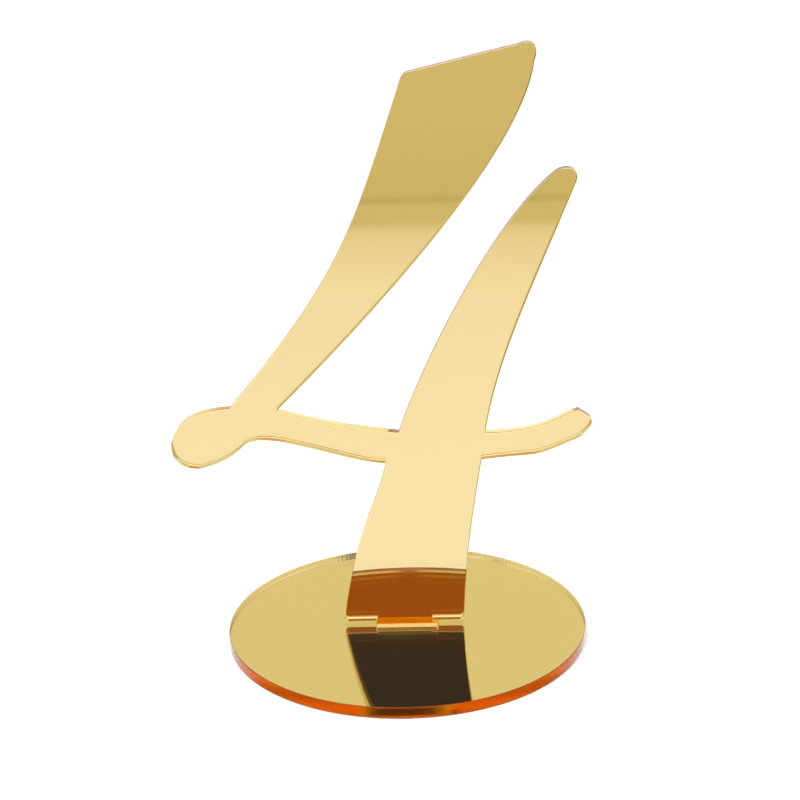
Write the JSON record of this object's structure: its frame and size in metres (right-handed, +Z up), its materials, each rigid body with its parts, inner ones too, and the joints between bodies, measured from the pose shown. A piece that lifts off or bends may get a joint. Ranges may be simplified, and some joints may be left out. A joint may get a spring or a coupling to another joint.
{
  "type": "table number stand",
  "caption": "Flat brush-style numeral on a leaning panel whose foot tab stands in a slot in a round base, all cut from tinted mirror sheet, free-standing.",
  "frame": {"origin": "middle of the round base's underside, on the surface that the stand rests on", "axes": "+Z up, +X to the reader's right, and the numeral's mirror face looks towards -Y"},
  "size_m": [0.1043, 0.09, 0.1491],
  "materials": {
    "tinted_acrylic": "polished amber-tinted clear acrylic with laser-cut edges",
    "mirror_film": "vacuum-deposited mirror behind the acrylic",
    "back_paint": "grey protective paint, fine satin texture"
  },
  "bodies": {
    "base": {"base_acrylic": "tinted_acrylic", "base_mirror_film": "mirror_film", "base_back_paint": "back_paint"},
    "number": {"number_acrylic": "tinted_acrylic", "number_mirror_film": "mirror_film", "number_back_paint": "back_paint"}
  },
  "joints": [
    {"name": "number_lift", "type": "slide", "parent": "base", "child": "number", "axis": [0, 0.0768, 0.997], "range_m": [0, 0.015]}
  ]
}
